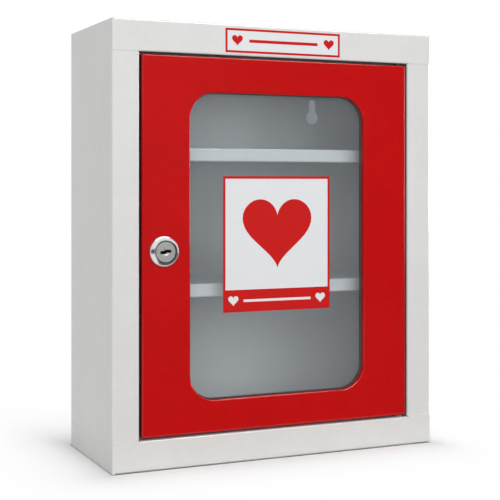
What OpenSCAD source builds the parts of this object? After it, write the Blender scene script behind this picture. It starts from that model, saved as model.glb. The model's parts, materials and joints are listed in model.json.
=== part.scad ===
// Small lockable wall cabinet for medicines: a folded sheet-steel body with two
// shelves, a glazed steel door on two pivot pins, and a cam lock.
// x runs to the right, y to the back and z up; the origin is under the middle.

/* [Cabinet] */
// Width over the side walls
cab_w = 302; // [240:1:420]
// Depth from the front rails to the back
cab_d = 122; // [90:1:200]
// Height
cab_h = 370; // [300:1:560]
// Thickness of all the folded sheet
sheet_t = 0.8; // [0.6:0.1:1.2]
// Inside radius of every fold
bend_r = 0.8; // [0.5:0.1:1.2]

/* [Front frame] */
// Width of the upright stiles
stile_w = 23.5; // [16:0.5:32]
// Height of the top rail
top_rail_h = 26; // [18:0.5:40]
// Height of the bottom rail
bottom_rail_h = 25; // [18:0.5:40]
// Depth of the frame's return, over the stop lip
return_d = 18; // [17:0.5:24]
// Width of the stop lip behind the door's edge
stop_lip_w = 8; // [6:0.5:10]
// Width of the flanges at the back
rear_flange_w = 15; // [8:0.5:20]
// Height of the flanges welded to the side walls
weld_flange_w = 12; // [6:0.5:16]

/* [Door] */
// Gap round the door
door_gap = 2; // [1.8:0.1:3]
// How far the door's face lies behind the rails' face
door_recess = 1; // [0.9:0.1:2]
// Gap between the door's rear edge and the stop lip, which the rubber bumpers fill
stop_gap = 2.2; // [1.6:0.1:4]
// What is left of that gap between a bumper and the shut door
bumper_gap = 0.3; // [0.2:0.1:0.6]

/* [Window] */
// Door left standing at each side of the window
window_side = 43; // [40:0.5:60]
// Door left standing above the window
window_above = 30; // [28:0.5:60]
// Door left standing below the window
window_below = 27; // [27:0.5:60]
// Corner radius of the window
window_r = 22; // [8:1:40]
// Depth of the flange turned in round the window
window_lip_d = 6.5; // [4.5:0.1:7.5]
// Part of that flange that the rubber profile covers
seal_reach = 2.3; // [1:0.1:2.6]
// Wall of the rubber profile on that flange
seal_t = 0.8; // [0.5:0.1:1.2]
// Thickness of the pane
pane_t = 3; // [2:0.5:4]
// Pane hidden behind the door, past the window's edge
pane_lap = 10; // [6:0.5:11]
// Distance of the pane's clips from the window's middle, across
clip_across = 48; // [20:1:60]
// Distance of the pane's clips from the window's middle, up and down
clip_up = 86; // [40:1:100]

/* [Hinges] */
// Diameter of the pivot pins
pin_d = 3; // [3:0.5:5]
// Distance of the pivots from the door's edge
pivot_inset = 5; // [4.6:0.1:6]
// Depth of the pivots behind the door's face
pivot_depth = 5; // [4.6:0.1:6]
// Depth of a pin in the door
pin_reach = 6; // [4:0.5:9]

/* [Lock] */
// Distance of the lock from the door's free edge
lock_inset = 19.2; // [18:0.1:24]
// Height of the lock above the base
lock_z = 179.5; // [120:0.5:260]
// Diameter of the lock's head
head_d = 26.5; // [24:0.5:30]
// Height of the head above the door's face
head_h = 5.2; // [3.5:0.1:8]
// Diameter of the turning face
face_d = 17; // [15:0.5:20]
// Diameter of the threaded barrel
barrel_d = 16; // [14:0.5:16]
// Wall of the barrel round the turning plug
barrel_wall = 2.5; // [2.2:0.1:3]
// Wall of the plug at each end of the keyway
keyway_wall = 0.7; // [0.7:0.1:1.5]
// Thickness of the keyway
keyway_t = 2.6; // [1.8:0.1:2.8]
// Offset between the two halves of the keyway
keyway_step = 0.9; // [0:0.1:1.4]
// Reach of the cam from the lock's axis
cam_reach = 34; // [28:0.5:36]
// Width of the cam
cam_w = 14; // [10:0.5:16]
// Thickness of the cam
cam_t = 2; // [1.5:0.1:3]

/* [Shelves] */
// Height of the lower shelf above the base
lower_shelf_z = 150; // [90:1:200]
// Distance of the upper shelf below the top
upper_shelf_drop = 104; // [60:1:150]
// Gap between the lock's cam and the shelves' front edge
shelf_gap = 1.6; // [1:0.1:20]
// Height of the shelves' front edge
shelf_lip_h = 11.5; // [8:0.5:16]
// Height of the shelves' upturned rear edge
shelf_rear_h = 9; // [6:0.5:14]
// Width of the shelf brackets' legs
bracket_w = 14; // [10:0.5:18]

/* [Hanging holes] */
// Distance between the two keyhole slots
keyhole_span = 184; // [120:1:184]
// Distance of their round holes below the top
keyhole_drop = 70; // [50:1:90]
// Diameter of the round hole, which passes the screw head
keyhole_d = 12.5; // [9:0.5:14]
// Width of the slot, which holds the screw's neck
keyhole_slot_w = 6.5; // [4.5:0.5:8]
// Height of the slot's end above the round hole's centre
keyhole_rise = 17.5; // [12:0.5:22]

/* [Hidden] */
$fn = 72;

paint_white = [0.87, 0.87, 0.86];
paint_red = [0.74, 0.07, 0.07];
zinc = [0.72, 0.73, 0.75];
chrome = [0.82, 0.83, 0.85];
brass = [0.78, 0.65, 0.35];
rubber_black = [0.08, 0.08, 0.08];
seal_grey = [0.52, 0.52, 0.50];
nylon = [0.10, 0.10, 0.11];
glass = [0.75, 0.80, 0.82, 0.35];

// Gap between the edges of sheets that meet edge to edge
seam = 0.2;
// Radial gap of a pin or shaft in its hole
running_gap = 0.05;
// Radial gap of a bought part in its hole
loose_gap = 0.1;
// Length by which a cut runs past what it cuts
over = 1;

// Body
outer_r = bend_r + sheet_t;
half_w = cab_w / 2;
opening_half = half_w - stile_w;
opening_h = cab_h - top_rail_h - bottom_rail_h;
// The rails lap over the stiles, so the stiles lie one sheet further back
stile_y = sheet_t;
stop_y = return_d - sheet_t;
back_y = cab_d - 2 * sheet_t;
// The lock's head is the foremost point; the part is centred front to back
front_y = -(cab_d - (head_h - door_recess)) / 2;

// Door
door_w = 2 * (opening_half - door_gap);
door_z = bottom_rail_h + door_gap;
door_h = opening_h - 2 * door_gap;
door_d = stop_y - stop_gap - door_recess;
door_rear = door_recess + door_d;
bumper_w = 6;
bumper_h = 18;
bumper_r = 1.5;
bumper_inset = 45;

// Window
window_w = door_w - 2 * window_side;
window_h = door_h - window_above - window_below;
window_z = door_z + window_below + window_h / 2;
pane_front = window_lip_d + seal_t;
pane_r = 3;

// Pane clips, Z-shaped; the web is the part that stands on edge
clip_t = 1.2;
clip_w = 14;
clip_foot = 10;
clip_grip = 5;
clip_gap = 0.9;
clip_web = clip_gap + clip_t / 2;
stud_x = clip_web + clip_t / 2 + clip_foot / 2;
stud_d = 4;
stud_l = 6.5;
nut_flats = 7;
nut_t = 3.2;

// Pivots
pivot_x = door_w / 2 - pivot_inset;
pivot_head_d = pin_d + 4;
pivot_head_t = 1.5;
bush_wall = 0.8;
bush_flange_d = pin_d + 4;
bush_flange_t = 0.8;
bush_l = 4;
// The door stands on the lower pin's collar
pivot_collar_t = door_gap - bush_flange_t - running_gap;

// Lock: head
lock_x = lock_inset - door_w / 2;
head_rim = 0.9;
head_land = 0.45;
crown_r = 5;
face_gap = 0.45;
face_t = 2;
face_sink = 0.3;
// Lock: depths behind the door's face
cam_gap = 0.4;
cam_v = return_d - door_recess + cam_gap;
washer_t = 1.2;
plug_end = cam_v - washer_t;
plug_end_gap = 0.2;
barrel_l = plug_end - plug_end_gap;
// Lock: barrel, its nut and washer
barrel_flat = 1;
lock_nut_flats = barrel_d + 4;
lock_nut_t = 3;
tooth_washer_t = 0.8;
tooth_washer_w = 2.2;
tooth_count = 14;
tooth_slot = [1, 1.4];
// Lock: plug
plug_d = barrel_d - 2 * barrel_wall;
keyway_w = plug_d - 2 * keyway_wall;
keyway_lap = 0.6;
dimple_d = 6;
dimple_floor_d = 4.6;
dimple_depth = 0.7;
tail_d = plug_d - 2;
tail_flats = tail_d - 2;
tail_l = washer_t + cam_t - plug_end_gap;
// Lock: wafers
wafer_count = 5;
wafer_t = 1;
wafer_w = 6;
wafer_pitch = 2;
wafer_first = 2;
wafer_web = 1.5;
// Lock: stop for the quarter turn; the tab fills what the wall leaves of the turn
turn = 90;
stop_margin = 22;
stop_wall = 1.8;
stop_wall_h = 1.2;
stop_tab_gap = 0.12;
stop_tab_w = 2 * ((barrel_d / 2 - stop_wall) * sin(stop_margin) - stop_tab_gap);
// Lock: cam, its washer and screw
cam_boss_d = barrel_d + 1;
cam_tip_r = 3.5;
cam_washer_d = tail_d + 2;
cam_washer_t = 1;
cam_washer_slot = 1;
cam_screw_d = 4;
cam_screw_l = 6;
screw_head_d = 7.5;
screw_crown_d = 5.5;
screw_rim_h = 1.4;
screw_crown_h = 1;
screw_cross = [4.4, 1];
screw_cross_depth = 1.5;

// Shelves
upper_shelf_z = cab_h - upper_shelf_drop;
shelf_setback = return_d + cam_gap + cam_t + shelf_gap;
shelf_side_gap = 1;
shelf_rear_gap = 0.6;
shelf_hem_w = 6;
bracket_front_gap = 2;
bracket_rear_gap = 6;

// ---------- shared shapes ----------

module in_place() translate([0, front_y, 0]) children();

module along_x(x0, x1) translate([x0, 0, 0]) rotate([90, 0, 90]) linear_extrude(x1 - x0) children();

module along_y(y0, y1) translate([0, y1, 0]) rotate([90, 0, 0]) linear_extrude(y1 - y0) children();

module along_z(z0, z1) translate([0, 0, z0]) linear_extrude(z1 - z0) children();

// A copy at each side
module both_sides() for (m = [0, 1]) mirror([m, 0, 0]) children();

function toward(a, b) = (b - a) / norm(b - a);

// Straight stretch of sheet between two points of its middle plane
module flat_strip(a, b, t) {
    size = [abs(b.x - a.x), abs(b.y - a.y)];
    thick = size.x > size.y ? [0, t] : [t, 0];
    translate([min(a.x, b.x), min(a.y, b.y)] - thick / 2) square(size + thick);
}

// Right-angled fold whose middle planes would meet at the corner
module arc_fold(corner, into, out, t) {
    reach = bend_r + t;
    side = into - out;
    translate(corner - (bend_r + t / 2) * side)
        intersection() {
            difference() {
                circle(r = reach);
                circle(r = bend_r);
            }
            translate([side.x < 0 ? -reach : 0, side.y < 0 ? -reach : 0]) square(reach);
        }
}

// Section of a folded sheet along a path of right angles through its middle plane
module folded(path, t = sheet_t) {
    last = len(path) - 1;
    set_in = bend_r + t / 2;
    for (i = [0 : last - 1]) {
        along = toward(path[i], path[i + 1]);
        start = i == 0 ? path[i] : path[i] + set_in * along;
        stop = i == last - 1 ? path[i + 1] : path[i + 1] - set_in * along;
        flat_strip(start, stop, t);
    }
    for (i = [1 : last - 1])
        arc_fold(path[i], toward(path[i - 1], path[i]), toward(path[i], path[i + 1]), t);
}

// Rectangle with round corners, centred
module round_rect(w, h, r) {
    square([w - 2 * r, h], center = true);
    square([w, h - 2 * r], center = true);
    for (x = [-1, 1], y = [-1, 1])
        translate([x * (w / 2 - r), y * (h / 2 - r)]) circle(r = r);
}

// Round bar's section with two flats above and below
module double_d(d, flats) {
    intersection() {
        circle(d = d);
        square([d + over, flats], center = true);
    }
}

// ---------- body ----------

// Bottom of the body: deck, front rail with its return and stop lip, rear and weld flanges
module cap(rail_h) {
    mid = sheet_t / 2;
    path = [
        [cab_d - mid, rear_flange_w],
        [cab_d - mid, mid],
        [mid, mid],
        [mid, rail_h - mid],
        [return_d - mid, rail_h - mid],
        [return_d - mid, rail_h + stop_lip_w]
    ];
    deck_half = half_w - sheet_t - outer_r;
    rear_half = half_w - rear_flange_w - seam;
    return_half = opening_half - seam;
    difference() {
        along_x(-deck_half, deck_half) folded(path);
        both_sides() {
            // the stiles' returns and the side panels' rear flanges take these corners
            translate([return_half, -over, rail_h - outer_r])
                cube([half_w, cab_d / 2, outer_r + stop_lip_w + over]);
            translate([rear_half, cab_d - sheet_t - seam, -over])
                cube([half_w, sheet_t + seam + over, rear_flange_w + 2 * over]);
            translate([rear_half, cab_d - outer_r - over, sheet_t])
                cube([half_w, outer_r + over, rear_flange_w]);
        }
    }
    both_sides() {
        // the rail's ends lap over the stiles
        translate([return_half, 0, rail_h - outer_r])
            cube([half_w - sheet_t - return_half, sheet_t, outer_r]);
        translate([deck_half, 0, 0])
            cube([half_w - sheet_t - deck_half, sheet_t, rail_h]);
        along_z(0, rail_h)
            translate([half_w - sheet_t, sheet_t])
                intersection() {
                    circle(r = sheet_t);
                    translate([0, -sheet_t]) square(sheet_t);
                }
        along_y(stile_y + outer_r + seam, cab_d - outer_r - seam)
            folded([
                [deck_half - outer_r, mid],
                [half_w - 1.5 * sheet_t, mid],
                [half_w - 1.5 * sheet_t, weld_flange_w]
            ]);
    }
}

module bottom_panel() {
    color(paint_white)
        in_place()
            difference() {
                cap(bottom_rail_h);
                pivot_hole(bottom_rail_h);
            }
}

module top_panel() {
    color(paint_white)
        in_place()
            difference() {
                translate([0, 0, cab_h]) mirror([0, 0, 1]) cap(top_rail_h);
                pivot_hole(cab_h - top_rail_h);
            }
}

// Hole for a pivot pin through a rail's return
module pivot_hole(z) {
    translate([pivot_x, door_recess + pivot_depth, z - 2 * sheet_t])
        cylinder(d = pin_d + 2 * running_gap, h = 4 * sheet_t);
}

// Side wall with its stile, return and stop lip, drawn as the left one
module side_panel() {
    mid = sheet_t / 2;
    path = [
        [rear_flange_w - half_w, cab_d - mid],
        [mid - half_w, cab_d - mid],
        [mid - half_w, stile_y + mid],
        [-opening_half - mid, stile_y + mid],
        [-opening_half - mid, return_d - mid],
        [stop_lip_w - opening_half, return_d - mid]
    ];
    difference() {
        along_z(0, cab_h) folded(path);
        end_notches(bottom_rail_h);
        translate([0, 0, cab_h]) mirror([0, 0, 1]) end_notches(top_rail_h);
    }
}

// Corners that the bottom or top panel takes from a side panel
module end_notches(rail_h) {
    // the rail's return
    translate([-opening_half - outer_r, 0, -over])
        cube([outer_r + stop_lip_w + over, return_d + over, rail_h + seam + over]);
    // the rail's stop lip
    translate([-opening_half, stile_y + outer_r, rail_h])
        cube([stop_lip_w + over, return_d, stop_lip_w + seam]);
    // the fold between deck and rail
    translate([sheet_t + outer_r - seam - half_w, 0, -over])
        cube([stile_w, stile_y + outer_r, outer_r + seam + over]);
}

module left_side_panel() {
    color(paint_white) in_place() side_panel();
}

module right_side_panel() {
    color(paint_white) in_place() mirror([1, 0, 0]) side_panel();
}

// Keyhole: a round hole for the screw's head and a slot up from it for its neck
module keyhole() {
    circle(d = keyhole_d);
    translate([-keyhole_slot_w / 2, 0]) square([keyhole_slot_w, keyhole_rise - keyhole_slot_w / 2]);
    translate([0, keyhole_rise - keyhole_slot_w / 2]) circle(d = keyhole_slot_w);
}

module back_panel() {
    edge = outer_r + seam;
    color(paint_white)
        in_place()
            along_y(back_y, back_y + sheet_t)
                difference() {
                    translate([edge - half_w, edge]) square([cab_w - 2 * edge, cab_h - 2 * edge]);
                    both_sides()
                        translate([keyhole_span / 2, cab_h - keyhole_drop]) keyhole();
                }
}

// Shelf whose top face lies at z
module shelf(z) {
    mid = sheet_t / 2;
    half = half_w - sheet_t - shelf_side_gap;
    rear = back_y - shelf_rear_gap - mid;
    color(paint_white)
        in_place()
            along_x(-half, half)
                folded([
                    [rear, z + shelf_rear_h],
                    [rear, z - mid],
                    [shelf_setback + mid, z - mid],
                    [shelf_setback + mid, z - shelf_lip_h + mid],
                    [shelf_setback + shelf_hem_w, z - shelf_lip_h + mid]
                ]);
}

module lower_shelf() shelf(lower_shelf_z);

module upper_shelf() shelf(upper_shelf_z);

// Angle welded to the left wall, under a shelf whose top face lies at z
module bracket(z) {
    mid = sheet_t / 2;
    wall = sheet_t - half_w;
    color(paint_white)
        in_place()
            along_y(shelf_setback + shelf_hem_w + bracket_front_gap, back_y - bracket_rear_gap)
                folded([
                    [wall + bracket_w, z - sheet_t - mid],
                    [wall + mid, z - sheet_t - mid],
                    [wall + mid, z - sheet_t - bracket_w]
                ]);
}

module bracket_lower_left() bracket(lower_shelf_z);

module bracket_lower_right() mirror([1, 0, 0]) bracket(lower_shelf_z);

module bracket_upper_left() bracket(upper_shelf_z);

module bracket_upper_right() mirror([1, 0, 0]) bracket(upper_shelf_z);

// Two rubber pads on the stop lip at the lock side
module door_bumpers() {
    thick = stop_y - door_rear - bumper_gap;
    x = -opening_half + stop_lip_w / 2;
    color(rubber_black)
        in_place()
            along_y(stop_y - thick, stop_y)
                for (z = [door_z + bumper_inset, door_z + door_h - bumper_inset])
                    translate([x, z]) round_rect(bumper_w, bumper_h, bumper_r);
}

// ---------- pivots ----------

module at_pivot(z) translate([pivot_x, front_y + door_recess + pivot_depth, z]) children();

// Pin riveted in the bottom rail's return; the door stands on its collar
module lower_pivot_pin() {
    color(zinc)
        at_pivot(bottom_rail_h) {
            translate([0, 0, -sheet_t - pivot_head_t]) cylinder(d = pivot_head_d, h = pivot_head_t);
            translate([0, 0, -sheet_t]) cylinder(d = pin_d, h = sheet_t + door_gap + pin_reach);
            cylinder(d = pivot_head_d, h = pivot_collar_t);
        }
}

// Headed pin dropped through the top rail's return
module upper_pivot_pin() {
    color(zinc)
        at_pivot(cab_h - top_rail_h) {
            translate([0, 0, sheet_t]) cylinder(d = pivot_head_d, h = pivot_head_t);
            translate([0, 0, -door_gap - pin_reach]) cylinder(d = pin_d, h = door_gap + pin_reach + sheet_t);
        }
}

// Flanged sleeve with its flange below, from the door's lower edge up
module pivot_bush() {
    color(nylon)
        difference() {
            union() {
                translate([0, 0, -bush_flange_t]) cylinder(d = bush_flange_d, h = bush_flange_t);
                cylinder(d = pin_d + 2 * bush_wall, h = bush_l);
            }
            translate([0, 0, -bush_flange_t - over])
                cylinder(d = pin_d + 2 * running_gap, h = bush_l + bush_flange_t + 2 * over);
        }
}

module lower_pivot_bush() at_pivot(door_z) pivot_bush();

module upper_pivot_bush() at_pivot(door_z + door_h) mirror([0, 0, 1]) pivot_bush();

// ---------- door ----------

module at_door() translate([0, front_y + door_recess, 0]) children();

// Edge with both front corners rounded, seen along a folded edge
module round_front(w, d, r) {
    translate([r, 0]) square([w - 2 * r, d]);
    translate([0, r]) square([w, d - r]);
    translate([r, r]) circle(r = r);
    translate([w - r, r]) circle(r = r);
}

// Block with folds along all its front edges, drawn smaller by the inset all round
module pan_block(inset, depth) {
    w = door_w - 2 * inset;
    h = door_h - 2 * inset;
    r = outer_r - inset;
    intersection() {
        along_z(door_z + inset, door_z + inset + h)
            translate([-w / 2, inset]) round_front(w, depth, r);
        along_x(-w / 2, w / 2)
            translate([inset, door_z + inset]) mirror([1, -1, 0]) round_front(h, depth, r);
        along_y(inset, inset + depth)
            translate([0, door_z + inset + h / 2]) round_rect(w, h, r);
    }
}

// Sweeps a section round the window: its x runs outwards from the opening, its y to the back
module round_window() {
    side_l = window_h / 2 - window_r;
    top_l = window_w / 2 - window_r;
    translate([0, 0, window_z])
        for (x = [0, 1], z = [0, 1])
            mirror([x, 0, 0]) mirror([0, 0, z]) {
                translate([window_w / 2, 0, -side_l]) linear_extrude(side_l) children();
                translate([top_l, 0, -window_h / 2])
                    mirror([0, 0, 1]) rotate([0, -90, 0]) linear_extrude(top_l) children();
                translate([top_l, 0, -side_l])
                    rotate([-90, 0, 0])
                        rotate_extrude(angle = 90) translate([window_r, 0]) children();
            }
}

// Flange turned in from the door's face
module window_lip_section() {
    translate([outer_r, outer_r])
        intersection() {
            difference() {
                circle(r = outer_r);
                circle(r = bend_r);
            }
            translate([-outer_r, -outer_r]) square(outer_r);
        }
    translate([0, outer_r]) square([sheet_t, window_lip_d - outer_r]);
}

module door_panel() {
    color(paint_red)
        at_door() {
            difference() {
                pan_block(0, door_d);
                pan_block(sheet_t, door_d);
                along_y(-over, 2 * sheet_t)
                    translate([0, window_z])
                        round_rect(window_w + 2 * outer_r, window_h + 2 * outer_r, window_r + outer_r);
                translate([lock_x, -over, lock_z])
                    rotate([-90, 0, 0])
                        linear_extrude(sheet_t + 2 * over)
                            double_d(barrel_d + 2 * loose_gap, barrel_d - 2 * barrel_flat + 2 * loose_gap);
                for (z = [door_z, door_z + door_h])
                    translate([pivot_x, pivot_depth, z - 2 * sheet_t])
                        cylinder(d = pin_d + 2 * bush_wall, h = 4 * sheet_t);
            }
            round_window() window_lip_section();
        }
}

// Grey rubber channel pushed over the window's flange
module glazing_seal() {
    front = window_lip_d - seal_reach;
    color(seal_grey)
        at_door()
            round_window()
                difference() {
                    translate([-seal_t, front]) square([sheet_t + 2 * seal_t, pane_front - front]);
                    translate([0, front - over]) square([sheet_t, window_lip_d - front + over]);
                }
}

module window_pane() {
    color(glass)
        at_door()
            along_y(pane_front, pane_front + pane_t)
                translate([0, window_z])
                    round_rect(window_w + 2 * pane_lap, window_h + 2 * pane_lap, pane_r);
}

// Puts a clip at each of its places: its x runs outwards from the pane's edge
module at_clips() {
    side_x = window_w / 2 + pane_lap;
    side_z = window_h / 2 + pane_lap;
    at_door()
        translate([0, 0, window_z])
            for (m = [0, 1]) {
                for (z = [-clip_up, clip_up])
                    mirror([m, 0, 0]) translate([side_x, 0, z]) children();
                for (x = [-clip_across, clip_across])
                    mirror([0, 0, m]) translate([x, 0, side_z]) rotate([0, -90, 0]) children();
            }
}

module pane_clips() {
    rear = pane_front + pane_t;
    color(zinc)
        at_clips()
            difference() {
                translate([0, 0, -clip_w / 2])
                    linear_extrude(clip_w)
                        folded([
                            [clip_web + clip_t / 2 + clip_foot, sheet_t + clip_t / 2],
                            [clip_web, sheet_t + clip_t / 2],
                            [clip_web, rear + clip_t / 2],
                            [-clip_grip, rear + clip_t / 2]
                        ], clip_t);
                translate([stud_x, 0, 0])
                    rotate([-90, 0, 0]) cylinder(d = stud_d + 2 * loose_gap, h = 2 * door_d);
            }
}

// Studs welded to the back of the door
module clip_studs() {
    color(zinc)
        at_clips()
            translate([stud_x, sheet_t, 0]) rotate([-90, 0, 0]) cylinder(d = stud_d, h = stud_l);
}

module clip_nuts() {
    color(zinc)
        at_clips()
            translate([stud_x, sheet_t + clip_t, 0])
                rotate([-90, 0, 0])
                    difference() {
                        cylinder(d = nut_flats / cos(30), h = nut_t, $fn = 6);
                        translate([0, 0, -over]) cylinder(d = stud_d + 2 * running_gap, h = nut_t + 2 * over);
                    }
}

// ---------- lock: z runs into the door from its face, y down ----------

module at_lock() translate([lock_x, front_y + door_recess, lock_z]) rotate([-90, 0, 0]) children();

// Half section of the head, standing on the door's face: a low rim and a domed crown
module head_section() {
    rim = [head_d / 2, head_rim];
    land = [face_d / 2 + face_gap + head_land, head_h];
    chord = land - rim;
    half = norm(chord) / 2;
    centre = (rim + land) / 2 - sqrt(crown_r * crown_r - half * half) * [chord.y, -chord.x] / (2 * half);
    square([rim.x, rim.y]);
    square([land.x, land.y]);
    intersection() {
        translate(centre) circle(r = crown_r);
        square([rim.x, land.y]);
    }
}

module lock_housing() {
    bore_d = plug_d + 2 * running_gap;
    recess_d = face_d + 2 * face_gap;
    recess_floor = face_t + face_sink + plug_end_gap;
    flats = barrel_d - 2 * barrel_flat;
    color(chrome)
        at_lock() {
            difference() {
                union() {
                    mirror([0, 0, 1]) rotate_extrude() head_section();
                    linear_extrude(barrel_l) double_d(barrel_d, flats);
                }
                translate([0, 0, -head_h - over]) cylinder(d = recess_d, h = recess_floor + over);
                translate([0, 0, -head_h]) cylinder(d = bore_d, h = head_h + barrel_l + over);
                // grooves that the wafers spring into
                translate([0, 0, wafer_first - wafer_t])
                    linear_extrude(wafer_count * wafer_pitch + wafer_t)
                        square([plug_d + 2 * wafer_t, wafer_w + 2 * loose_gap], center = true);
            }
            // wall that stops the tab of the stop washer at each end of its turn
            intersection() {
                rotate([0, 0, stop_margin])
                    rotate_extrude(angle = 360 - turn - 2 * stop_margin)
                        translate([barrel_d / 2 - stop_wall, barrel_l - over])
                            square([stop_wall, stop_wall_h + over]);
                linear_extrude(2 * barrel_l) double_d(barrel_d, flats);
            }
        }
}

module lock_tooth_washer() {
    inner = barrel_d / 2 + loose_gap;
    color(zinc)
        at_lock()
            translate([0, 0, sheet_t])
                linear_extrude(tooth_washer_t)
                    difference() {
                        circle(r = inner + tooth_washer_w);
                        circle(r = inner);
                        for (i = [0 : tooth_count - 1])
                            rotate(i * 360 / tooth_count)
                                translate([inner - over, -tooth_slot.y / 2])
                                    square(tooth_slot + [over, 0]);
                    }
}

module lock_nut() {
    color(zinc)
        at_lock()
            translate([0, 0, sheet_t + tooth_washer_t])
                difference() {
                    rotate(30) cylinder(d = lock_nut_flats / cos(30), h = lock_nut_t, $fn = 6);
                    translate([0, 0, -over])
                        cylinder(d = barrel_d + 2 * running_gap, h = lock_nut_t + 2 * over);
                }
}

// Stepped slot for the key
module keyway() {
    half = keyway_w / 2;
    translate([-half, (keyway_step - keyway_t) / 2]) square([half + keyway_lap, keyway_t]);
    translate([-keyway_lap, (-keyway_step - keyway_t) / 2]) square([half + keyway_lap, keyway_t]);
}

module lock_plug() {
    face_v = face_sink - head_h;
    wafers_end = wafer_first + wafer_count * wafer_pitch;
    dimple_slope = (dimple_d - dimple_floor_d) / dimple_depth;
    color(zinc)
        at_lock()
            difference() {
                union() {
                    translate([0, 0, face_v]) cylinder(d = face_d, h = face_t);
                    translate([0, 0, face_v]) cylinder(d = plug_d, h = plug_end - face_v);
                    linear_extrude(plug_end + tail_l) double_d(tail_d, tail_flats);
                }
                translate([0, 0, face_v - over]) linear_extrude(wafers_end - face_v + over) keyway();
                // lead-in for the key's tip
                translate([0, 0, face_v - over])
                    cylinder(
                        d1 = dimple_d + dimple_slope * over,
                        d2 = dimple_floor_d,
                        h = over + dimple_depth
                    );
                for (i = [0 : wafer_count - 1])
                    translate([0, 0, wafer_first + i * wafer_pitch])
                        linear_extrude(wafer_t + loose_gap)
                            square([plug_d + over, wafer_w + 2 * running_gap], center = true);
                translate([0, 0, plug_end + tail_l - cam_screw_l])
                    cylinder(d = cam_screw_d + 2 * running_gap, h = cam_screw_l + over);
            }
}

// Sprung plates round the keyway, at the height where the plug can turn
module lock_wafers() {
    color(brass)
        at_lock()
            for (i = [0 : wafer_count - 1])
                translate([0, 0, wafer_first + i * wafer_pitch + loose_gap / 2])
                    linear_extrude(wafer_t)
                        difference() {
                            intersection() {
                                square([plug_d, wafer_w], center = true);
                                circle(d = plug_d - 2 * loose_gap);
                            }
                            square([plug_d - 2 * (wafer_web + loose_gap), keyway_t + keyway_step + loose_gap],
                                   center = true);
                        }
}

// Washer keyed to the plug, with a tab that meets the housing's wall
module stop_washer() {
    color(zinc)
        at_lock()
            translate([0, 0, plug_end])
                linear_extrude(washer_t)
                    difference() {
                        union() {
                            circle(r = barrel_d / 2 - stop_wall - 2 * loose_gap);
                            translate([-stop_tab_w / 2, -barrel_d / 2]) square([stop_tab_w, barrel_d / 2]);
                        }
                        double_d(tail_d + 2 * running_gap, tail_flats + 2 * running_gap);
                    }
}

module lock_cam() {
    color(zinc)
        at_lock()
            translate([0, 0, cam_v])
                linear_extrude(cam_t)
                    difference() {
                        union() {
                            circle(d = cam_boss_d);
                            translate([-cam_w / 2, 0]) square([cam_w, cam_reach - cam_tip_r]);
                            translate([cam_tip_r - cam_w / 2, 0]) square([cam_w - 2 * cam_tip_r, cam_reach]);
                            for (x = [-1, 1])
                                translate([x * (cam_w / 2 - cam_tip_r), cam_reach - cam_tip_r])
                                    circle(r = cam_tip_r);
                        }
                        double_d(tail_d + 2 * running_gap, tail_flats + 2 * running_gap);
                    }
}

module cam_spring_washer() {
    color(zinc)
        at_lock()
            translate([0, 0, cam_v + cam_t])
                linear_extrude(cam_washer_t)
                    difference() {
                        circle(d = cam_washer_d);
                        circle(d = cam_screw_d + 2 * loose_gap);
                        translate([0, -cam_washer_slot / 2]) square([cam_washer_d, cam_washer_slot]);
                    }
}

// Pan-head screw with a cross slot, into the plug's tail
module cam_screw() {
    seat = cam_v + cam_t + cam_washer_t;
    top = seat + screw_rim_h + screw_crown_h;
    color(zinc)
        at_lock()
            difference() {
                union() {
                    translate([0, 0, seat - cam_screw_l]) cylinder(d = cam_screw_d, h = cam_screw_l);
                    translate([0, 0, seat]) cylinder(d = screw_head_d, h = screw_rim_h);
                    translate([0, 0, seat + screw_rim_h])
                        cylinder(d1 = screw_head_d, d2 = screw_crown_d, h = screw_crown_h);
                }
                for (a = [0, 90])
                    translate([0, 0, top - screw_cross_depth])
                        rotate(a)
                            linear_extrude(screw_cross_depth + over) square(screw_cross, center = true);
            }
}

bottom_panel();
top_panel();
left_side_panel();
right_side_panel();
back_panel();
lower_shelf();
upper_shelf();
bracket_lower_left();
bracket_lower_right();
bracket_upper_left();
bracket_upper_right();
door_bumpers();
lower_pivot_pin();
upper_pivot_pin();
door_panel();
lower_pivot_bush();
upper_pivot_bush();
glazing_seal();
window_pane();
pane_clips();
clip_studs();
clip_nuts();
lock_housing();
lock_tooth_washer();
lock_nut();
lock_plug();
lock_wafers();
stop_washer();
lock_cam();
cam_spring_washer();
cam_screw();
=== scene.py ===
"""Looks for a small lockable wall cabinet with a glazed door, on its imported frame.

The row frame is in metres: x to the right, y to the back, z up. Labels and threads are given in millimetres.
"""

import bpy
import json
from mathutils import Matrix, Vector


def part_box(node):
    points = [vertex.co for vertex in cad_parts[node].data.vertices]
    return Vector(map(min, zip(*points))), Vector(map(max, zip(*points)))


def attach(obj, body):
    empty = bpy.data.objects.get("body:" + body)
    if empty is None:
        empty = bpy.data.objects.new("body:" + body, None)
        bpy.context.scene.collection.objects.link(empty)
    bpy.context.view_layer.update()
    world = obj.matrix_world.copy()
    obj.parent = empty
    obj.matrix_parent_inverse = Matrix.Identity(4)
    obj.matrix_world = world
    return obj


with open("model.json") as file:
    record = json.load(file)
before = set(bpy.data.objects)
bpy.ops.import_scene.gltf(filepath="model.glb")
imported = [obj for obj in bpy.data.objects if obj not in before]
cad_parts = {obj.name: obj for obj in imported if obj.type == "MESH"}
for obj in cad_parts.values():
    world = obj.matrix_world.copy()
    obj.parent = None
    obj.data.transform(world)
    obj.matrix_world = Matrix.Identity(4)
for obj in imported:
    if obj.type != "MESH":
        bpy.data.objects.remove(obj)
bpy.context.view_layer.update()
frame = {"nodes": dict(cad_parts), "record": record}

import json
import math

import bpy
from mathutils import Vector

MM = 0.001
WHITE = (1, 1, 1, 1)
NODES = frame["nodes"]
SUBPARTS = frame["record"]["subparts"]

# ---------- small tools ----------


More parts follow.
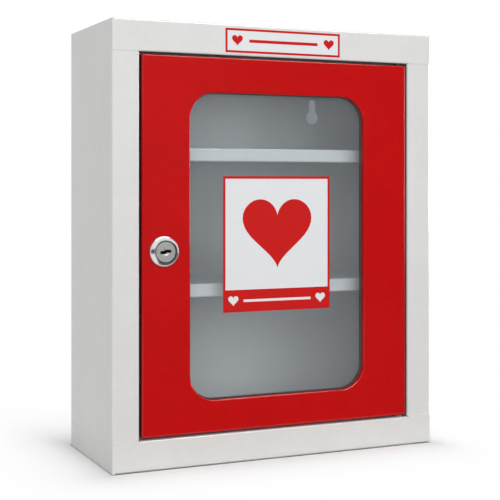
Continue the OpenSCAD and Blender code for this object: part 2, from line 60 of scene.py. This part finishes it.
def linear(r, g, b):
    """Linear colour of 8-bit screen values."""
    def one(c):
        c /= 255
        return c / 12.92 if c <= 0.04045 else ((c + 0.055) / 1.055) ** 2.4
    return (one(r), one(g), one(b), 1)


def scaled(colour, by):
    """Colour made darker or lighter, up to white."""
    return [min(1, c * by) for c in colour[:3]] + [1]


class Tree:
    """Node tree of a material or world, built by short calls."""

    def __init__(self, owner):
        owner.use_nodes = True
        self.owner = owner
        self.nodes = owner.node_tree.nodes
        self.links = owner.node_tree.links
        self.nodes.clear()

    def add(self, kind, inputs=None, **settings):
        node = self.nodes.new(kind)
        for key, value in settings.items():
            setattr(node, key, value)
        for key, value in (inputs or {}).items():
            if isinstance(value, bpy.types.NodeSocket):
                self.links.new(value, node.inputs[key])
            else:
                node.inputs[key].default_value = value
        return node

    def math(self, operation, a, b=0.0):
        return self.add("ShaderNodeMath", {0: a, 1: b}, operation=operation).outputs[0]

    def vector(self, operation, a, b=None):
        inputs = {0: a} if b is None else {0: a, 1: b}
        node = self.add("ShaderNodeVectorMath", inputs, operation=operation)
        return node.outputs["Value" if operation == "LENGTH" else "Vector"]

    def mix(self, fac, a, b):
        """Colour a where fac is 0 and b where it is 1."""
        node = self.add("ShaderNodeMix", {"Factor": fac, "A": a, "B": b}, data_type="RGBA")
        return node.outputs["Result"]

    def blend(self, fac, a, b):
        """Shader a where fac is 0 and b where it is 1."""
        return self.add("ShaderNodeMixShader", {"Fac": fac, 1: a.outputs[0], 2: b.outputs[0]})

    def where(self):
        """Place in the row frame at rest, in metres."""
        return self.add("ShaderNodeTexCoord").outputs["Object"]

    def noise(self, scale, detail=3.0, rough=0.5, place=None):
        return self.add("ShaderNodeTexNoise", {
            "Vector": place or self.where(), "Scale": scale, "Detail": detail, "Roughness": rough,
        }).outputs["Fac"]

    def span(self, value, low, high, out_low, out_high):
        """Value from the range low to high, moved to the range out_low to out_high."""
        return self.add("ShaderNodeMapRange", {
            "Value": value, "From Min": low, "From Max": high, "To Min": out_low, "To Max": out_high,
        }).outputs["Result"]

    def swing(self, noise, low, high):
        """The usual range of a noise, moved to the range low to high."""
        return self.span(noise, 0.3, 0.7, low, high)

    def bump(self, height, strength, distance):
        node = self.add("ShaderNodeBump", {"Height": height, "Strength": strength, "Distance": distance})
        return node.outputs["Normal"]

    def principled(self, **inputs):
        return self.add("ShaderNodeBsdfPrincipled", {k.replace("_", " "): v for k, v in inputs.items()})

    def emission(self, colour, strength=1.0):
        return self.add("ShaderNodeEmission", {"Color": colour, "Strength": strength})

    def backfacing(self):
        return self.add("ShaderNodeNewGeometry").outputs["Backfacing"]

    def looked_at(self):
        """1 for the camera and for what mirrors and clear sheets show, 0 for light that falls on things."""
        ray = self.add("ShaderNodeLightPath")
        seen = self.math("MAXIMUM", ray.outputs["Is Camera Ray"], ray.outputs["Is Glossy Ray"])
        return self.math("MAXIMUM", seen, ray.outputs["Is Transmission Ray"])

    def done(self, shader, output="ShaderNodeOutputMaterial"):
        self.add(output, {"Surface": shader.outputs[0]})
        return self.owner


def material_tree(name):
    return Tree(bpy.data.materials.new(name))


def add_piece(name, mesh):
    piece = bpy.data.objects.new(name, mesh)
    bpy.context.scene.collection.objects.link(piece)
    return piece


# ---------- where the painted shade and the lock are ---

door_low, door_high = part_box("door_panel")
FRONT = door_low.y
SKIRT = 0.5 * MM
LEFT_SKIRT = 2.6 * SKIRT
OPENING = 2.5 * MM
# The painted shade in the gap round the door lies outside the inner rectangle of the piece and inside the
# outer one.
# Below the door the inner ones reach past the gap, so the lower rail's upturned face is left unshaded.
UNSHADED_LOW = door_low.z - 2 * OPENING
DOOR_INNER = (door_low.x + LEFT_SKIRT, UNSHADED_LOW, door_high.x - SKIRT, door_high.z - SKIRT)
BODY_INNER = (door_low.x - SKIRT, UNSHADED_LOW, door_high.x + SKIRT, door_high.z + SKIRT)
GAP_OUTER = (door_low.x - OPENING, door_low.z - OPENING, door_high.x + OPENING, door_high.z + OPENING)
SOFT_EDGE = 0.3 * MM
# near-black colour that paints the shade in the gap round the door
GAP_SHADE = (0.012, 0.01, 0.01, 1)
GAP_SHADE_COVER = 0.72
GAP_SHADE_RISE = 0.7 * MM
GAP_SHADE_FADES_FROM = FRONT + 12 * MM
GAP_SHADE_FADES_TO = FRONT + 18 * MM

LOCK_AXIS = sum(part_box("lock_plug"), Vector()) / 2
FACE_PLANE = (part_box("lock_plug")[0].y - LOCK_AXIS.y) / MM
# the dimple round the keyway is shallower than this, and the keyway is deeper, so the painted shade darkens
# the keyway and not the dimple
FACE_HOLE = FACE_PLANE + 0.85
LOCK_GROOVE = 8.75
# near-black colour that paints the shade in the lock's groove and deep in its keyway
LOCK_SHADE = (0.012, 0.012, 0.012, 1)
GROOVE_SHADE_COVER = 0.92
HOLE_SHADE_COVER = 0.95
NO_GROOVE = 0
NO_HOLE = 100

# ---------- materials ----------


def within(t, place, box):
    """1 inside an upright rectangle (x0, z0, x1, z1), 0 outside it, with a soft edge."""
    inside = 1.0
    for axis, low, high in (("X", box[0], box[2]), ("Z", box[1], box[3])):
        half = (high - low) / 2
        off = t.math("ABSOLUTE", t.math("SUBTRACT", place.outputs[axis], (low + high) / 2))
        inside = t.math("MINIMUM", inside, t.span(off, half - SOFT_EDGE, half, 1, 0))
    return inside


def powder_coat(name, colour, blotch, rough, peel, shine, inner, from_y):
    """Sprayed powder coat: faint clouds, orange peel, and painted shade in the gap round the door behind
    from_y.
    """
    t = material_tree(name)
    clouds = t.noise(18, 4, 0.6)
    mottle = t.noise(160, 3, 0.6)
    shade = t.math("ADD", t.math("MULTIPLY", clouds, 0.6), t.math("MULTIPLY", mottle, 0.4))
    coat = t.mix(t.span(shade, 0.38, 0.62, 0, 1), scaled(colour, 1 - blotch), scaled(colour, 1 + blotch))
    place = t.add("ShaderNodeSeparateXYZ", {"Vector": t.where()})
    outside = t.math("SUBTRACT", 1, within(t, place, inner))
    depth = t.math("MULTIPLY", t.span(place.outputs["Y"], from_y, from_y + GAP_SHADE_RISE, 0, 1),
                   t.span(place.outputs["Y"], GAP_SHADE_FADES_FROM, GAP_SHADE_FADES_TO, 1, 0))
    # painted shade: the coat is darkened in the gap round the door, from from_y back, fading further in
    gap_shade = t.math("MULTIPLY", t.math("MULTIPLY", outside, within(t, place, GAP_OUTER)), depth)
    orange_peel = t.noise(620, 2, 0.45)
    specks = t.noise(2600, 2, 0.5)
    relief = t.math("ADD", orange_peel, t.math("MULTIPLY", specks, 0.25))
    return t.done(t.principled(
        Base_Color=t.mix(t.math("MULTIPLY", gap_shade, GAP_SHADE_COVER), coat, GAP_SHADE),
        Specular_IOR_Level=shine,
        Roughness=t.swing(t.noise(90, 3), rough - 0.02, rough + 0.02),
        Normal=t.bump(relief, peel, 0.00012),
    ))


def zinc_plate(name, colour, rough):
    """Bright zinc over rolled steel: fine rolling lines and slightly uneven tone."""
    t = material_tree(name)
    stretched = t.add("ShaderNodeMapping", {"Vector": t.where(), "Scale": (400, 400, 60)}).outputs[0]
    lines = t.noise(6, 3, 0.6, stretched)
    tone = t.noise(220, 4, 0.6)
    return t.done(t.principled(
        Base_Color=t.mix(t.swing(tone, 0, 1), scaled(colour, 0.86), colour),
        Metallic=1.0,
        Roughness=t.swing(lines, rough - 0.07, rough + 0.07),
        Normal=t.bump(lines, 0.15, 0.00003),
    ))


def turned_metal(name, colour, rough, ring_depth, groove, hole_from):
    """Metal turned about the lock's axis: fine rings in gloss and relief, painted shade in a groove and in
    holes.

    groove is the radius of the groove painted dark as shade. hole_from is how far behind the plug's middle
    holes turn dark with painted shade.
    """
    t = material_tree(name)
    place = t.add("ShaderNodeSeparateXYZ", {"Vector": t.vector("SUBTRACT", t.where(), LOCK_AXIS)})
    flat = t.add("ShaderNodeCombineXYZ", {"X": place.outputs["X"], "Z": place.outputs["Z"]}).outputs[0]
    radius = t.vector("LENGTH", flat)
    rings = t.add("ShaderNodeTexNoise", {"W": radius, "Scale": 5200, "Detail": 3, "Roughness": 0.6},
                  noise_dimensions="1D").outputs["Fac"]
    tone = t.noise(500, 4, 0.6)
    wear = t.noise(60, 4, 0.6)
    metal = t.mix(t.swing(tone, 0, 1), scaled(colour, 0.9), colour)
    # painted shade in the groove round the plug and deep in the keyway
    beside = t.math("ABSOLUTE", t.math("SUBTRACT", radius, groove * MM))
    groove_shade = t.span(beside, 0.12 * MM, 0.38 * MM, GROOVE_SHADE_COVER, 0)
    hole_shade = t.span(place.outputs["Y"], hole_from * MM, (hole_from + 0.3) * MM, 0, HOLE_SHADE_COVER)
    return t.done(t.principled(
        Base_Color=t.mix(t.math("MAXIMUM", groove_shade, hole_shade), metal, LOCK_SHADE),
        Metallic=1.0,
        Roughness=t.math("ADD", t.swing(rings, rough - 0.05, rough + 0.05), t.swing(wear, -0.03, 0.03)),
        Normal=t.bump(rings, ring_depth, 0.00002),
    ))


def moulded(name, colour, rough, grain, speckle=0.04, shine=0.5):
    """Rubber, plastic or vinyl: fine moulded grain, faint uneven tone."""
    t = material_tree(name)
    tone = t.noise(300, 4, 0.6)
    return t.done(t.principled(
        Base_Color=t.mix(t.swing(tone, 0, 1), scaled(colour, 1 - speckle), scaled(colour, 1 + speckle)),
        Specular_IOR_Level=shine,
        Roughness=t.swing(t.noise(500, 3), rough - 0.06, rough + 0.06),
        Normal=t.bump(t.noise(3500, 3), grain, 0.00003),
    ))


def clear_pane(name, tint, mirror, film_colour, haze):
    """Clear sheet: lets light through with a slight tint, mirrors by Fresnel and carries a dusty film."""
    t = material_tree(name)
    smear = t.noise(35, 3, 0.55)
    through = t.add("ShaderNodeBsdfTransparent", {"Color": tint})
    gloss = t.add("ShaderNodeBsdfGlossy", {
        "Color": WHITE, "Roughness": t.span(smear, 0.35, 0.7, 0.02, 0.07),
        "Normal": t.bump(t.noise(12, 1), 0.02, 0.0004),
    })
    fresnel = t.add("ShaderNodeFresnel", {"IOR": mirror}).outputs[0]
    # only the outer faces mirror: light that has come in leaves again without loss
    outer = t.math("SUBTRACT", 1, t.backfacing())
    film = t.add("ShaderNodeBsdfDiffuse", {"Color": film_colour})
    film_share = t.math("MULTIPLY", outer, t.swing(smear, haze * 0.9, haze * 1.1))
    return t.done(t.blend(t.math("MULTIPLY", fresnel, outer), t.blend(film_share, through, film), gloss))


CHROME = turned_metal("chrome_bright", (0.76, 0.77, 0.78, 1), 0.2, 0.05, LOCK_GROOVE, NO_HOLE)
ZINC = zinc_plate("zinc_plain", (0.55, 0.56, 0.58, 1), 0.40)
FINISH = {
    "body_paint": powder_coat("powder_white", linear(226, 226, 224), blotch=0.022, rough=0.24, peel=0.06,
                              shine=0.6, inner=BODY_INNER, from_y=FRONT + 2 * MM),
    "door_paint": powder_coat("powder_red", linear(195, 5, 7), blotch=0.05, rough=0.16, peel=0.04,
                              shine=0.34, inner=DOOR_INNER, from_y=FRONT + 0.15 * MM),
    "bumper_rubber": moulded("rubber_black", (0.03, 0.03, 0.032, 1), rough=0.75, grain=0.3),
    "zinc_plate": ZINC,
    "bush_nylon": moulded("nylon_black", (0.03, 0.03, 0.032, 1), rough=0.4, grain=0.15),
    "seal_rubber": moulded("rubber_grey", linear(72, 71, 70), rough=0.34, grain=0.2, shine=0.8),
    "pane_clear": clear_pane("pane_sheet", (0.962, 0.986, 1.0, 1), mirror=1.46,
                             film_colour=(0.76, 0.83, 0.89, 1), haze=0.115),
    "lock_chrome": CHROME,
    "lock_face": turned_metal("nickel_satin", (0.88, 0.89, 0.86, 1), 0.6, 0.3, LOCK_GROOVE, FACE_HOLE),
    # the wafers' brass is given a very dark colour, painted shade inside the keyway
    "wafer_brass": turned_metal("brass_darkened_as_shade", (0.16, 0.11, 0.05, 1), 0.5, 0.1, NO_GROOVE, NO_HOLE),
}
for part in SUBPARTS:
    for holder in NODES[part["node"]].material_slots:
        holder.material = FINISH[part["material_slot"]]

# ---------- labels ----------

INK_RED = moulded("print_red", linear(204, 22, 20), rough=0.4, grain=0.1, speckle=0.02, shine=0.2)
VINYL_WHITE = moulded("vinyl_white", linear(231, 233, 235), rough=0.4, grain=0.12, speckle=0.01, shine=0.3)
LABEL_T = 0.12
PRINT_T = 0.03
# each sheet is let in a little, so that no two faces share a plane
LET_IN = 0.02
HEART_POINTS = 64
# the heart's curve is 32 units wide, and its middle is 2.5 units under its origin
HEART_UNITS = 32
HEART_SINK = 2.5


def rectangle(x0, z0, x1, z1):
    return [(x0, z0), (x1, z0), (x1, z1), (x0, z1)]


def heart(cx, cz, width):
    """Plain heart: two round lobes over a point."""
    pts = []
    for i in range(HEART_POINTS):
        a = 2 * math.pi * i / HEART_POINTS
        x = 16 * math.sin(a) ** 3
        z = 13 * math.cos(a) - 5 * math.cos(2 * a) - 2 * math.cos(3 * a) - math.cos(4 * a)
        pts.append((cx + x * width / HEART_UNITS, cz + (z + HEART_SINK) * width / HEART_UNITS))
    return pts


def hearts_and_rule(box, z, width, inset, half_rule):
    """A small heart near each end of a box (x0, z0, x1, z1), and a thin rule between them."""
    return [heart(box[0] + inset, z, width), heart(box[2] - inset, z, width),
            rectangle(box[0] + 2 * inset, z - half_rule, box[2] - 2 * inset, z + half_rule)]


def sheet(name, loops, front, thick, material, body):
    """Thin upright plate with these outlines, inner ones as holes; its face looks to the front."""
    curve = bpy.data.curves.new(name, "CURVE")
    curve.dimensions = "2D"
    curve.fill_mode = "BOTH"
    curve.extrude = thick * MM / 2
    for loop in loops:
        spline = curve.splines.new("POLY")
        spline.points.add(len(loop) - 1)
        for point, (x, z) in zip(spline.points, loop):
            point.co = (x * MM, z * MM, 0, 1)
        spline.use_cyclic_u = True
    carrier = add_piece(name + "_curve", curve)
    carrier.rotation_euler = (math.pi / 2, 0, 0)
    carrier.location = (0, (front + thick / 2) * MM, 0)
    bpy.context.view_layer.update()
    flat = carrier.evaluated_get(bpy.context.evaluated_depsgraph_get())
    mesh = bpy.data.meshes.new_from_object(flat)
    mesh.transform(carrier.matrix_world)
    bpy.data.objects.remove(carrier)
    mesh.materials.clear()
    mesh.materials.append(material)
    piece = add_piece(name, mesh)
    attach(piece, body)


def label(name, box, front, body, inked):
    """Vinyl label: a white sheet and, on it, the printed red."""
    sheet(name, [rectangle(*box)], front - LABEL_T, LABEL_T + LET_IN, VINYL_WHITE, body)
    sheet(name + "_print", inked, front - LABEL_T - PRINT_T, PRINT_T + LET_IN, INK_RED, body)


PANE_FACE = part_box("window_pane")[0].y / MM
RAIL_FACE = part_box("top_panel")[0].y / MM

MAIN = (-50.3, 125.8, 52.0, 241.9)
MAIN_KEYLINE = 2.2
FOOTER_TOP = MAIN[1] + 19
main_ink = [
    rectangle(*MAIN),
    rectangle(MAIN[0] + MAIN_KEYLINE, FOOTER_TOP, MAIN[2] - MAIN_KEYLINE, MAIN[3] - MAIN_KEYLINE),
    heart((MAIN[0] + MAIN[2]) / 2, (FOOTER_TOP + MAIN[3]) / 2 - 1, width=66),
]
main_ink += hearts_and_rule(MAIN, (MAIN[1] + FOOTER_TOP) / 2, width=9.5, inset=9.5, half_rule=1.1)
label("main_label", MAIN, PANE_FACE, "door", main_ink)

TOP = (-51.6, 346.3, 57.6, 366.9)
TOP_KEYLINE = 1.9
top_ink = [
    rectangle(*TOP),
    rectangle(TOP[0] + TOP_KEYLINE, TOP[1] + TOP_KEYLINE, TOP[2] - TOP_KEYLINE, TOP[3] - TOP_KEYLINE),
]
top_ink += hearts_and_rule(TOP, (TOP[1] + TOP[3]) / 2, width=10, inset=11, half_rule=1.3)
label("top_label", TOP, RAIL_FACE, "cabinet", top_ink)

# ---------- threads ----------

THREAD_ROOT = 0.04
THREAD_FLANK = 0.42
THREAD_STEP = 9
# an arc over this many degrees climbs a whole pitch, a shorter one a little less
CLOSED_ARC = 300
SHORT_CLIMB = 0.9
SAME_POST = 8 * MM


def thread(name, posts, radius, height, pitch, y0, y1, arcs, body, material):
    """Screw thread along y on posts (x, z): a climbing ridge over each arc (degrees), one for each pitch."""
    verts, faces = [], []
    root = radius - THREAD_ROOT
    ridge = ((root, -THREAD_FLANK), (radius + height, 0.0), (root, THREAD_FLANK))
    for cx, cz in posts:
        for start, stop in arcs:
            steps = max(6, round((stop - start) / THREAD_STEP))
            climb = 1 if stop - start > CLOSED_ARC else SHORT_CLIMB
            for turn in range(int((y1 - y0) / pitch)):
                first = len(verts)
                for i in range(steps + 1):
                    angle = start + (stop - start) * i / steps
                    y = y0 + pitch * (turn + 0.5 + (angle - start) / 360 * climb)
                    c, s = math.cos(math.radians(angle)), math.sin(math.radians(angle))
                    for r, dy in ridge:
                        verts.append(((cx + r * c) * MM, (y + dy * pitch) * MM, (cz + r * s) * MM))
                for i in range(steps):
                    a = first + 3 * i
                    for j, k in ((0, 1), (1, 2), (2, 0)):
                        faces.append((a + j, a + k, a + 3 + k, a + 3 + j))
                end = first + 3 * steps
                faces += [(first + 2, first + 1, first), (end, end + 1, end + 2)]
    mesh = bpy.data.meshes.new(name)
    mesh.from_pydata(verts, [], faces)
    mesh.validate()
    mesh.materials.append(material)
    piece = add_piece(name, mesh)
    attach(piece, body)


def middle(values):
    return (min(values) + max(values)) / 2 / MM


def posts_of(node):
    """Centres (x, z) in mm of the separate solids of a node."""
    groups = []
    for vertex in NODES[node].data.vertices:
        at = NODES[node].matrix_world @ vertex.co
        for group in groups:
            if math.hypot(at.x - group[0].x, at.z - group[0].z) < SAME_POST:
                group.append(at)
                break
        else:
            groups.append([at])
    return [(middle([v.x for v in group]), middle([v.z for v in group])) for group in groups]


barrel_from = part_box("lock_nut")[1].y / MM + 0.3
barrel_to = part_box("stop_washer")[0].y / MM - 2.0
thread("barrel_thread", [(LOCK_AXIS.x / MM, LOCK_AXIS.z / MM)], radius=8, height=0.22, pitch=1.0,
       y0=barrel_from, y1=barrel_to, arcs=[(-58, 58), (122, 238)],
       body="door", material=CHROME)
stud_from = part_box("clip_nuts")[1].y / MM + 0.1
stud_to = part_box("clip_studs")[1].y / MM - 0.3
thread("stud_thread", posts_of("clip_studs"), radius=2, height=0.16, pitch=0.7,
       y0=stud_from, y1=stud_to, arcs=[(0, 345)],
       body="door", material=ZINC)

# ---------- surroundings ----------

base_low, base_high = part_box("bottom_panel")
BASE_MIDDLE = ((base_low.x + base_high.x) / 2, (base_low.y + base_high.y) / 2, 0)
BASE_HALF = ((base_high.x - base_low.x) / 2, (base_high.y - base_low.y) / 2, 0)
FLOOR_HALF = 8.0
FLOOR_TONE = 0.9
SHADOW_REACH = 9.5 * MM
SHADOW_DEPTH = 0.85
# how fast the shadow fades to each side
FADE_LEFT, FADE_RIGHT, FADE_FRONT, FADE_BACK = 0.45, 1, 0.45, 0.2
# reach and tone of the painted contact shadow at the base
CONTACT_FROM, CONTACT_TO = 0.6 * MM, 2.4 * MM
CONTACT_SHADOW_TONE = 0.3
CONTACT_NARROW = (3, 1, 0)
WALL_GAP = 4 * MM


def upright(x0, y0, x1, y1, z0, z1):
    """Corners of an upright rectangle over a line in plan."""
    return [(x0, y0, z0), (x1, y1, z0), (x1, y1, z1), (x0, y0, z1)]


def level(x0, y0, x1, y1, z):
    """Corners of a level rectangle."""
    return [(x0, y0, z), (x1, y0, z), (x1, y1, z), (x0, y1, z)]


def flat_piece(name, corners, material):
    mesh = bpy.data.meshes.new(name)
    mesh.from_pydata(corners, [], [tuple(range(len(corners)))])
    mesh.materials.append(material)
    piece = add_piece(name, mesh)
    return piece


def pale_floor(name):
    """Floor: white to the camera and in reflections, but for the object's soft shadow near its base."""
    t = material_tree(name)
    # distance from the object's footprint, with a scale for each way, since the shadow is wider to some sides
    place = t.vector("SUBTRACT", t.where(), BASE_MIDDLE)
    off = t.vector("MAXIMUM", t.vector("SUBTRACT", t.vector("ABSOLUTE", place), BASE_HALF), (0, 0, 0))
    side = t.add("ShaderNodeSeparateXYZ", {"Vector": place})
    fade = t.add("ShaderNodeCombineXYZ", {
        "X": t.span(side.outputs["X"], -BASE_HALF[0], BASE_HALF[0], FADE_LEFT, FADE_RIGHT),
        "Y": t.span(side.outputs["Y"], -BASE_HALF[1], BASE_HALF[1], FADE_FRONT, FADE_BACK),
    }).outputs[0]
    eased = t.vector("LENGTH", t.vector("MULTIPLY", off, fade))
    shade = t.math("POWER", math.e, t.math("MULTIPLY", eased, -1 / SHADOW_REACH))
    share = t.math("SUBTRACT", 1, t.math("MULTIPLY", shade, SHADOW_DEPTH))
    # painted contact shadow: a dark line where the base meets the floor
    narrow = t.vector("LENGTH", t.vector("MULTIPLY", off, CONTACT_NARROW))
    clear = t.span(narrow, CONTACT_FROM, CONTACT_TO, 0, 1)
    tone = t.math("MULTIPLY", FLOOR_TONE, t.span(clear, 0, 1, CONTACT_SHADOW_TONE, 1))
    colour = t.add("ShaderNodeCombineXYZ", {"X": tone, "Y": tone, "Z": tone}).outputs[0]
    dull = t.add("ShaderNodeBsdfDiffuse", {"Color": colour})
    white_share = t.math("MULTIPLY", t.looked_at(), t.math("MULTIPLY", share, clear))
    return t.done(t.blend(white_share, dull, t.emission(WHITE)))


flat_piece("floor", level(-FLOOR_HALF, -FLOOR_HALF, FLOOR_HALF, FLOOR_HALF, 0), pale_floor("floor_pale"))


def mirrored_piece(name, corners, material):
    """Flat piece that only mirrors see."""
    piece = flat_piece(name, corners, material)
    piece.visible_camera = False
    piece.visible_diffuse = False
    piece.visible_shadow = False
    piece.visible_transmission = False
    return piece


def card(name, corners, tone):
    """Dark card, a painted dark reflection that only mirrors show, so that flat faces don't haze over."""
    t = material_tree(name)
    mirrored_piece(name, corners, t.done(t.emission((tone, tone, tone, 1))))


def highlight_strip(name, corners, strength, receivers):
    """Bright card that only the receivers mirror, a painted highlight on them; it lets everything else
    through.
    """
    t = material_tree(name)
    open_card = t.add("ShaderNodeBsdfTransparent")
    both = t.add("ShaderNodeAddShader", {0: t.emission(WHITE, strength).outputs[0], 1: open_card.outputs[0]})
    t.owner.cycles.emission_sampling = "NONE"
    piece = mirrored_piece(name, corners, t.done(both))
    piece.light_linking.receiver_collection = receivers


def pieces_in(name, slots):
    """Collection of the nodes that have one of these material slots."""
    found = bpy.data.collections.new(name)
    for part in SUBPARTS:
        if part["material_slot"] in slots:
            found.objects.link(NODES[part["node"]])
    return found


# dark cards: painted dark reflections that only mirrors show
card("card_front", upright(-0.2, -1.5, 0.6, -1.5, 0.002, 0.9), 0.12)
card("card_right", upright(0.6, -1.5, 2.7, -1.5, 0.002, 0.9), 0.02)
card("card_floor", [
    (-0.2, -1.5, 0.002), (2.7, -1.5, 0.002), (1.2, -0.12, 0.002), (-0.15, -0.12, 0.002),
], 0.12)
card("card_left", upright(-1.30, -0.10, -0.42, -1.25, 0.01, 0.36), 0.03)
painted = pieces_in("painted", ("body_paint", "door_paint"))
faced = pieces_in("faced", ("lock_face",))
# painted highlights: bright strips that only the paint and the lock's face mirror
highlight_strip("strip_above", level(-0.8, -1.0, 0.8, 0.1, 1.5), 11, painted)
highlight_strip("strip_beside", upright(1.6, -0.5, 1.6, 0.4, 0.1, 0.8), 14, painted)
highlight_strip("strip_face", level(-0.8, -1.0, 0.8, 0.1, 1.4), 2.6, faced)


def painted_shade_wall(name, tone):
    """Grey glowing sheet, painted shade seen through an open hole from the front; from behind it isn't there.
    """
    t = material_tree(name)
    return t.done(t.blend(t.backfacing(), t.emission(tone), t.add("ShaderNodeBsdfTransparent")))


# grey glowing sheet behind the back: painted shade seen through the keyholes
wall_y = base_high.y + WALL_GAP
shade_patch = flat_piece("shade_patch", upright(-0.145, wall_y, 0.145, wall_y, 0.005, 0.365),
                        painted_shade_wall("wall_painted_shade", linear(120, 123, 124)))
shade_patch.visible_diffuse = False
shade_patch.visible_shadow = False

world = bpy.data.worlds.new("studio")
bpy.context.scene.world = world
sky = Tree(world)
soft_light = sky.add("ShaderNodeBackground", {"Color": WHITE, "Strength": 0.42})
white_back = sky.add("ShaderNodeBackground", {"Color": WHITE})
sky.done(sky.blend(sky.looked_at(), soft_light, white_back), "ShaderNodeOutputWorld")


def softbox(name, place, target, size, watts):
    """Rectangular area lamp that mirrors don't show."""
    lamp = bpy.data.lights.new(name, "AREA")
    lamp.shape = "RECTANGLE"
    lamp.size, lamp.size_y = size
    lamp.energy = watts
    stand = add_piece(name, lamp)
    stand.location = place
    stand.visible_glossy = False
    stand.rotation_euler = (Vector(target) - Vector(place)).to_track_quat("-Z", "Y").to_euler()


LIT_POINT = (0, 0, 0.18)
softbox("key", (-0.05, -1.9, 0.75), LIT_POINT, (3.0, 1.4), 24)
softbox("fill", (-2.0, -0.7, 0.5), LIT_POINT, (1.2, 0.9), 1.3)

# ---------- camera ----------

camera = add_piece("camera", bpy.data.cameras.new("camera"))
camera.location = (-0.444425, -0.9829, 0.236068)
camera.rotation_euler = (math.radians(90), 0, math.radians(-24.213))
camera.data.sensor_width = 36
camera.data.lens = 85.84
camera.data.shift_y = -0.134
bpy.context.scene.camera = camera

bpy.context.scene.view_settings.view_transform = "Standard"
